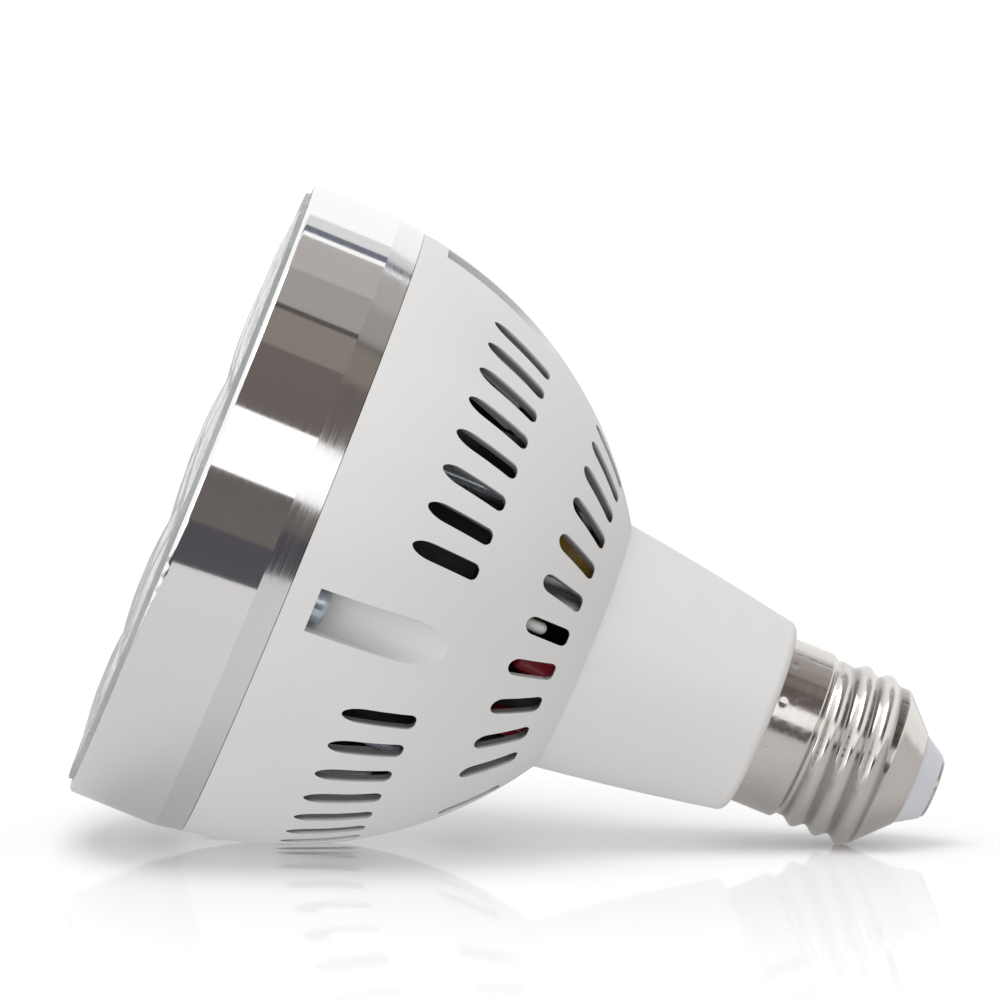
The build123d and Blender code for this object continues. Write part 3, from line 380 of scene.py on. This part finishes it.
def thread_root_shade(tree, plain):
    """Painted shade: 1 at the bottom of the cap's thread, 0 on its crests and beside it."""
    x, y, height = split(tree, plain)
    start, end = THREAD_BAND
    deep = ranged(tree, lamp_radius(tree, x, y), 1.0, 0.0, THREAD_FLOOR_R * MM, THREAD_FLANK_R * MM)
    after = ranged(tree, height, 0.0, 1.0, (start - THREAD_FADE) * MM, start * MM)
    before = ranged(tree, height, 1.0, 0.0, end * MM, (end + THREAD_FADE) * MM)
    return maths(tree, "MULTIPLY", deep, maths(tree, "MULTIPLY", after, before))


def turned_relief(tree, grains, lines, outside, polished):
    """Normal with the grain of the casting under the turned lines of the ring."""
    grain_bump = add(tree, "Bump", Distance=CAST_RELIEF)
    link(tree, grains, grain_bump.inputs["Height"])
    link(tree, mixed(tree, outside, CAST["bump"], SKIN_BUMP), grain_bump.inputs["Strength"])
    line_bump = add(tree, "Bump", Distance=LINE_RELIEF)
    strength = mixed(tree, polished, BRUSHED_BAND["bump"], POLISHED_BAND["bump"])
    link(tree, strength, line_bump.inputs["Strength"])
    link(tree, lines, line_bump.inputs["Height"])
    link(tree, grain_bump.outputs["Normal"], line_bump.inputs["Normal"])
    return line_bump.outputs["Normal"]


def ring_zones(tree, plain):
    """1 on the heat sink's turned outside, on its polished band, and in its seam at the housing for the
    painted shadow.
    """
    x, y, height = split(tree, plain)
    outside = ranged(tree, lamp_radius(tree, x, y), 0.0, 1.0, RING_OUTSIDE, RING_OUTSIDE + OUTSIDE_FADE)
    front = ranged(tree, height, 1.0, 0.0, RING_BAND_END - BAND_FADE, RING_BAND_END + BAND_FADE)
    gap = ranged(tree, height, 0.0, 1.0, SEAM_SHADOW_Z - SEAM_FADE, SEAM_SHADOW_Z)
    return outside, maths(tree, "MULTIPLY", outside, front), gap


def turned_aluminium():
    """Polished front band, brushed rear band, as-cast inside and painted shadow in the seam, told apart by
    radius and height.
    """
    mat, tree = new_material("turned_aluminium_finish")
    bsdf = add(tree, "BsdfPrincipled", Metallic=1.0)
    plain = object_coords(tree)
    outside, polished, gap = ring_zones(tree, plain)
    lines = noise(tree, object_coords(tree, TURNED_STRETCH), TURNED_LINES, TURNED_DETAIL)
    cast = noise(tree, plain, CAST_GRAIN, CAST_DETAIL)
    rough = mixed(tree, outside, ranged(tree, cast, *CAST["rough"]),
                  ranged(tree, lines, *BRUSHED_BAND["rough"]))
    rough = mixed(tree, polished, rough, ranged(tree, lines, *POLISHED_BAND["rough"]))
    link(tree, rough, bsdf.inputs["Roughness"])
    turned_tint = mixed(tree, polished, mixed(tree, lines, *BRUSHED_BAND["tints"]),
                        mixed(tree, lines, *POLISHED_BAND["tints"]))
    tint = mixed(tree, outside, mixed(tree, cast, *CAST["tints"]), turned_tint)
    # Painted shadow: the metal turns dark grey in the seam gap at the housing
    link(tree, mixed(tree, gap, tint, SEAM_SHADOW_TINT), bsdf.inputs["Base Color"])
    grains = mixed(tree, outside, cast, noise(tree, plain, SKIN_GRAIN, TURNED_DETAIL))
    link(tree, turned_relief(tree, grains, lines, outside, polished), bsdf.inputs["Normal"])
    show(tree, bsdf.outputs["BSDF"])
    return mat


# Finish of each material slot; a relief is in mm
BRUSHED = {"stretch": (1.0, 1.0, 0.05), "grain": 2400.0, "relief": 0.01}
MATERIALS = {
    "clear_plastic": surface("clear_plastic_finish", (0.92, 0.93, 0.94), 0.09, vary=0.01, spread=0.03,
                             grain=500.0, relief=0.006, zone=lens_rim, zone_rough=0.34,
                             Transmission_Weight=0.84, IOR=1.49),
    "turned_aluminium": turned_aluminium(),
    # White moulding, darkened to 30 % on the vents' side walls and the dome's inside as painted shade
    "white_plastic": surface("white_plastic_finish", (0.66, 0.65, 0.64), 0.44, vary=0.015, spread=0.05,
                             grain=2600.0, relief=0.012, zone=painted_vent_shade, zone_level=0.30, IOR=1.48),
    "zinc_steel": surface("zinc_steel_finish", (0.50, 0.55, 0.62), 0.30, metal=1.0, vary=0.12, grain=1500.0),
    # Nickel plate, darkened to 55 % in the thread's roots as painted shade
    "nickel_shell": surface("nickel_shell_finish", (0.70, 0.665, 0.635), 0.17, metal=1.0, vary=0.07,
                            spread=0.06, grain=1100.0, relief=0.010, zone=thread_root_shade, zone_level=0.55),
    "pale_insulator": surface("pale_insulator_finish", (0.58, 0.58, 0.62), 0.30, vary=0.006, grain=2400.0,
                              relief=0.004, IOR=1.52),
    "contact_metal": surface("contact_metal_finish", (0.66, 0.65, 0.63), 0.28, metal=1.0, vary=0.08,
                             **BRUSHED),
    "white_board": surface("white_board_finish", (0.78, 0.78, 0.75), 0.40, vary=0.03, grain=1400.0),
    "chip_ceramic": surface("chip_ceramic_finish", (0.86, 0.66, 0.16), 0.22, vary=0.06, Coat_Weight=0.6),
    "black_plastic": surface("black_plastic_finish", (0.016, 0.016, 0.017), 0.42, vary=0.15, grain=1700.0),
    "grey_steel": surface("grey_steel_finish", (0.36, 0.36, 0.37), 0.36, metal=1.0, vary=0.08, **BRUSHED),
    "ferrite": surface("ferrite_finish", (0.035, 0.035, 0.038), 0.55, vary=0.2, grain=2200.0, relief=0.03),
    "bronze": surface("bronze_finish", (0.46, 0.26, 0.10), 0.42, metal=1.0, vary=0.12, grain=2600.0),
    "copper": surface("copper_finish", (0.66, 0.25, 0.11), 0.28, metal=1.0, vary=0.08,
                      stretch=(0.05, 0.05, 1.0), grain=3000.0, relief=0.03),
    "green_board": surface("green_board_finish", (0.018, 0.10, 0.035), 0.34, vary=0.12, grain=1300.0),
    "yellow_tape": surface("yellow_tape_finish", (0.46, 0.27, 0.02), 0.24, vary=0.08, Coat_Weight=0.3),
    "plain_aluminium": surface("plain_aluminium_finish", (0.62, 0.62, 0.62), 0.32, metal=1.0, vary=0.06,
                               **BRUSHED),
    "red_coating": surface("red_coating_finish", (0.52, 0.018, 0.05), 0.24, vary=0.10, Coat_Weight=0.4),
    "dark_sleeve": surface("dark_sleeve_finish", (0.030, 0.030, 0.033), 0.46, vary=0.12, grain=1300.0),
    "white_insulation": surface("white_insulation_finish", (0.86, 0.86, 0.85), 0.42, vary=0.03, grain=1500.0),
    "red_insulation": surface("red_insulation_finish", (0.40, 0.016, 0.016), 0.38, vary=0.08, grain=1500.0),
}


def dress_nodes():
    """Gives each CAD node the finish of its material slot."""
    for node in frame["record"]["subparts"]:
        mesh = NODES[node["node"]].data
        mesh.materials.clear()
        mesh.materials.append(MATERIALS[node["material_slot"]])


def outward(azimuth):
    turn = radians(azimuth)
    return Vector((sin(turn), -cos(turn), 0.0))


def add_object(name, mesh, material):
    """New object with this mesh and finish."""
    mesh.materials.append(material)
    obj = bpy.data.objects.new(name, mesh)
    bpy.context.scene.collection.objects.link(obj)
    return obj


def smooth_object(name, bm, sharp, material):
    """New object, smooth but for edges that turn by more than sharp degrees."""
    bmesh.ops.recalc_face_normals(bm, faces=bm.faces)
    mesh = bpy.data.meshes.new(name)
    bm.to_mesh(mesh)
    bm.free()
    mesh.shade_smooth()
    mesh.set_sharp_from_angle(angle=radians(sharp))
    return add_object(name, mesh, material)


def smooth(value, start, end):
    """0 before start, 1 after end, with a soft step between."""
    t = min(1.0, max(0.0, (value - start) / (end - start)))
    return t * t * (3 - 2 * t)


def ridge(turn, height):
    """Share of the thread's depth at this turn, counted from the thread's start, and height."""
    along = (height - THREAD_START) / PITCH - turn
    lap = round(along)
    run = lap + turn
    fade = smooth(run, *THREAD_RUN_IN)
    fade *= 1 - smooth(run, THREAD_TURNS - THREAD_RUN_OUT[0], THREAD_TURNS + THREAD_RUN_OUT[1])
    return fade * (0.5 + 0.5 * cos(2 * pi * (along - lap))) ** CREST_POWER


def punch_depth(angle, height):
    """Depth of the skirt's punch marks at this azimuth in degrees and height."""
    step = 360 / PUNCHES
    off = (angle - PUNCH_START + step / 2) % step - step / 2
    across = SKIRT_R * radians(off)
    near = (across ** 2 + (height - PUNCH_HEIGHT) ** 2) / (2 * PUNCH_R ** 2)
    return PUNCH_DEPTH * exp(-near)


def shell_radius(angle, height):
    """Outer radius of the shell at this azimuth in degrees and height."""
    if height > BODY_END:
        return ROOT_R - (ROOT_R - MOUTH_R) * (height - BODY_END) / (SHELL_END - BODY_END)
    turn = ((angle - 90 - CAP_TURN) % 360) / 360
    radius = SKIRT_R + (ROOT_R - SKIRT_R) * smooth(height, SKIRT_END, ROOT_START)
    radius += (CREST_R - ROOT_R) * ridge(turn, height)
    if height < 2 * PUNCH_HEIGHT:
        radius -= punch_depth(angle, height)
    return radius


def shell_rows():
    """Rows of radius and height round the shell, up its outside and down its inside."""
    angles = [360 * k / SHELL_SIDES for k in range(SHELL_SIDES)]
    outside = [SHELL_END * i / SHELL_STEPS for i in range(SHELL_STEPS + 1)]
    inside = [(MOUTH_R - SHELL_WALL, SHELL_END), (ROOT_R - SHELL_WALL, BODY_END), (ROOT_R - SHELL_WALL, 0.0)]
    rows = [[(shell_radius(angle, height), height) for angle in angles] for height in outside]
    return rows + [[place] * SHELL_SIDES for place in inside]


def make_shell():
    """Rolled shell with its round thread and the punch marks of its skirt."""
    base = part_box("screw_cap")[0].z / MM
    bm = bmesh.new()
    rings = []
    for row in shell_rows():
        ring = []
        for k, (radius, height) in enumerate(row):
            turn = 2 * pi * k / SHELL_SIDES
            place = (radius * sin(turn) * MM, -radius * cos(turn) * MM, (base + height) * MM)
            ring.append(bm.verts.new(place))
        rings.append(ring)
    for lower, upper in zip(rings, rings[1:] + rings[:1]):
        for k in range(SHELL_SIDES):
            after = (k + 1) % SHELL_SIDES
            bm.faces.new((lower[k], lower[after], upper[after], upper[k]))
    shell = smooth_object("cap_shell", bm, SHELL_SHARP, MATERIALS["nickel_shell"])
    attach(shell, "lamp")
    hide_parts("screw_cap")


def dome_reach(height, across, inset=0.0):
    """Distance of the dome's skin from the axis along a vent, at this height and this far across it."""
    radius = DOME_CENTRE_R + ((DOME_ARC_R - inset) ** 2 - (height - DOME_CENTRE_Z) ** 2) ** 0.5
    return (radius ** 2 - across ** 2) ** 0.5


def corner_outline(vent, side):
    """Points across and along a vent round one of its corners at the level end, the corner itself first."""
    top = DOME_CENTRE_Z + (DOME_ARC_R ** 2 - (vent["inner_r"] - DOME_CENTRE_R) ** 2) ** 0.5
    corner = vent["corner"]
    points = [(side * vent["half"], top)]
    for i in range(CORNER_STEPS + 1):
        turn = pi / 2 * i / CORNER_STEPS
        across = vent["half"] - corner + corner * cos(turn)
        points.append((side * across, top - corner + corner * sin(turn)))
    return points


def add_vent_corner(bm, azimuth, vent, side):
    """Fills the sharp corner between a vent's side and its level end with a concave round."""
    out = outward(azimuth)
    along = Vector((cos(radians(azimuth)), sin(radians(azimuth)), 0.0))
    skins = []
    for inset in (0.0, DOME_WALL):
        skin = []
        for across, height in corner_outline(vent, side):
            place = out * dome_reach(height, across, inset) + along * across + Vector((0, 0, height))
            skin.append(bm.verts.new(place * MM))
        skins.append(skin)
    for i in range(1, CORNER_STEPS + 1):
        bm.faces.new((skins[0][0], skins[0][i], skins[0][i + 1]))
        bm.faces.new((skins[1][0], skins[1][i + 1], skins[1][i]))
        bm.faces.new((skins[0][i], skins[1][i], skins[1][i + 1], skins[0][i + 1]))


def make_vent_corners():
    """Rounded corners of the vents' level ends, part of the white moulding."""
    bm = bmesh.new()
    for vent, azimuths in ((FRONT_VENT, FRONT_VENTS), (REAR_VENT, REAR_VENTS)):
        for azimuth in azimuths:
            for side in (-1, 1):
                add_vent_corner(bm, azimuth, vent, side)
    corners = smooth_object("vent_corners", bm, CORNER_SHARP, MATERIALS["white_plastic"])
    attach(corners, "lamp")


def stage_piece(name, verts, faces, material, hidden_from):
    """Piece of the studio, hidden from these kinds of ray."""
    mesh = bpy.data.meshes.new(name)
    mesh.from_pydata(verts, [], faces)
    obj = add_object(name, mesh, material)
    for ray in hidden_from:
        setattr(obj, "visible_" + ray, False)


def floor_paper(tree, path):
    """White paper with a faint sheen for the camera; metal sees it darker."""
    speck = noise(tree, object_coords(tree), FLOOR_GRAIN)
    tint = mixed(tree, speck, shade(WHITE, FLOOR_SHADE), shade(WHITE, 1.0))
    mirrored = mixed(tree, speck, shade(MIRRORED_FLOOR, 1.0), shade(MIRRORED_FLOOR, MIRRORED_SHADE))
    paper = add(tree, "BsdfDiffuse")
    link(tree, mixed(tree, path.outputs["Is Glossy Ray"], tint, mirrored), paper.inputs["Color"])
    gloss = add(tree, "BsdfGlossy", Roughness=SHEEN_ROUGH)
    grazing = add(tree, "Fresnel", IOR=SHEEN_IOR)
    mirror = maths(tree, "MULTIPLY", grazing.outputs[0], FLOOR_SHEEN)
    mirror = maths(tree, "MULTIPLY", path.outputs["Is Camera Ray"], mirror)
    return blended(tree, mirror, paper.outputs[0], gloss.outputs[0])


def floor_glow(tree, path, place):
    """Glow that lifts the floor to white away from the lamp; metal sees it even."""
    away = add(tree, "VectorMath", _operation="DISTANCE")
    link(tree, place, away.inputs[0])
    away.inputs[1].default_value = LAMP_MIDDLE
    level = ranged(tree, away.outputs["Value"], 0.0, FLOOR_GLOW, GLOW_START, GLOW_END)
    glow = add(tree, "Emission", Color=shade(WHITE, 1.0))
    link(tree, mixed(tree, path.outputs["Is Glossy Ray"], level, MIRRORED_GLOW), glow.inputs["Strength"])
    return glow.outputs[0]


def floor_finish():
    """White floor, seen from above only, with the object's shadow and a faint reflection of it."""
    mat, tree = new_material("floor_finish")
    path = add(tree, "LightPath")
    geometry = add(tree, "NewGeometry")
    both = add(tree, "AddShader")
    link(tree, floor_paper(tree, path), both.inputs[0])
    link(tree, floor_glow(tree, path, geometry.outputs["Position"]), both.inputs[1])
    clear = add(tree, "BsdfTransparent")
    show(tree, blended(tree, geometry.outputs["Backfacing"], both.outputs[0], clear.outputs[0]))
    return mat


def make_floor(name, point, normal, material, hidden_from):
    """Large square through a point, facing along its normal."""
    side = normal.orthogonal().normalized()
    other = normal.cross(side)
    half = FLOOR_SPAN / 2
    corners = [point + side * a * half + other * b * half for a, b in ((-1, -1), (1, -1), (1, 1), (-1, 1))]
    stage_piece(name, corners, [(0, 1, 2, 3)], material, hidden_from)


def rest_normal():
    """Up from the floor that the lamp lies on in the photograph."""
    tilt = radians(REST_TILT)
    return -outward(REST_AZIMUTH) * cos(tilt) - Vector((0, 0, 1)) * sin(tilt)


def rest_point():
    """Place where the cap touches that floor."""
    radius, height = REST_POINT
    return outward(REST_AZIMUTH) * radius * MM + Vector((0, 0, height * MM))


def make_floors():
    """One floor under the lens, where the lamp stands, and one that it lies on in the photograph."""
    finish = floor_finish()
    make_floor("floor_standing", Vector((0, 0, 0)), Vector((0, 0, 1)), finish, ONLY_SEEN)
    make_floor("floor_lying", rest_point(), rest_normal(), finish, NO_SHADE)


def wall_finish(name, colour, level):
    mat, tree = new_material(name + "_finish")
    glow = add(tree, "Emission", Strength=level)
    spread = noise(tree, object_coords(tree), WALL_GRAIN)
    tint = mixed(tree, spread, *[shade(colour, factor) for factor in WALL_SHADES])
    link(tree, tint, glow.inputs["Color"])
    show(tree, glow.outputs[0])
    return mat


def make_walls():
    """Curved strips round the lamp that give the polished metal its bands."""
    for name, start, end, colour, level in WALLS:
        steps = max(2, round((end - start) / WALL_STEP))
        verts = []
        for i in range(steps + 1):
            foot = outward(start + (end - start) * i / steps - SEEN_TURN) * WALL_R
            verts += [foot + Vector((0, 0, WALL_LOW)), foot + Vector((0, 0, WALL_HIGH))]
        faces = [(2 * i, 2 * i + 2, 2 * i + 3, 2 * i + 1) for i in range(steps)]
        stage_piece(name, verts, faces, wall_finish(name, colour, level), ONLY_REFLECTED)


def make_apron():
    """Dark front edge of the floor, seen in the ring's lower half."""
    up = rest_normal()
    front = outward(-SEEN_TURN)
    front = (front - up * front.dot(up)).normalized()
    side = up.cross(front)
    start = rest_point() + up * APRON_LIFT
    corners = []
    for run, across in ((APRON_START, -1), (APRON_END, -1), (APRON_END, 1), (APRON_START, 1)):
        corners.append(start + front * run + side * across * APRON_HALF)
    stage_piece("floor_apron", corners, [(0, 1, 2, 3)], wall_finish("floor_apron", APRON_COLOUR, 1.0),
                ONLY_REFLECTED)


def camera_axes():
    """The view's right, up and back."""
    back = CAMERA_BACK.normalized()
    right = CAMERA_UP.cross(back).normalized()
    return right, back.cross(right), back


def make_camera():
    data = bpy.data.cameras.new("photo_camera")
    data.lens = CAMERA_LENS
    data.sensor_width = CAMERA_SENSOR
    data.clip_start, data.clip_end = CAMERA_CLIP
    camera = bpy.data.objects.new("photo_camera", data)
    turn = Matrix(camera_axes()).transposed().to_4x4()
    camera.matrix_world = Matrix.Translation(CAMERA_AT) @ turn
    bpy.context.scene.collection.objects.link(camera)
    bpy.context.scene.camera = camera


def area_light(name, where, size, power):
    """Square lamp; where is its offset from the object's middle along the view's right, up and back."""
    place = LAMP_MIDDLE.copy()
    for axis, amount in zip(camera_axes(), where):
        place += axis * amount
    data = bpy.data.lights.new(name, "AREA")
    data.size = size
    data.energy = power
    lamp = bpy.data.objects.new(name, data)
    lamp.location = place
    lamp.rotation_mode = "QUATERNION"
    lamp.rotation_quaternion = (LAMP_MIDDLE - place).to_track_quat("-Z", "Y")
    bpy.context.scene.collection.objects.link(lamp)


def make_world():
    """Even pale light from all sides; the camera, metal and clear plastic see it as plain white."""
    world = bpy.data.worlds.new("studio")
    world.use_nodes = True
    tree = world.node_tree
    tree.nodes.clear()
    path = add(tree, "LightPath")
    seen = maths(tree, "MAXIMUM", path.outputs["Is Camera Ray"], path.outputs["Is Glossy Ray"])
    seen = maths(tree, "MAXIMUM", seen, path.outputs["Is Transmission Ray"])
    sky = add(tree, "Background", Color=shade(WHITE, 1.0))
    link(tree, mixed(tree, seen, WORLD_LEVEL, 1.0), sky.inputs["Strength"])
    out = add(tree, "OutputWorld")
    link(tree, sky.outputs[0], out.inputs["Surface"])
    bpy.context.scene.world = world


make_camera()
dress_nodes()
make_shell()
make_vent_corners()
make_walls()
make_apron()
make_floors()
for light in LIGHTS:
    area_light(*light)
make_world()
bpy.context.scene.view_settings.view_transform = "Standard"
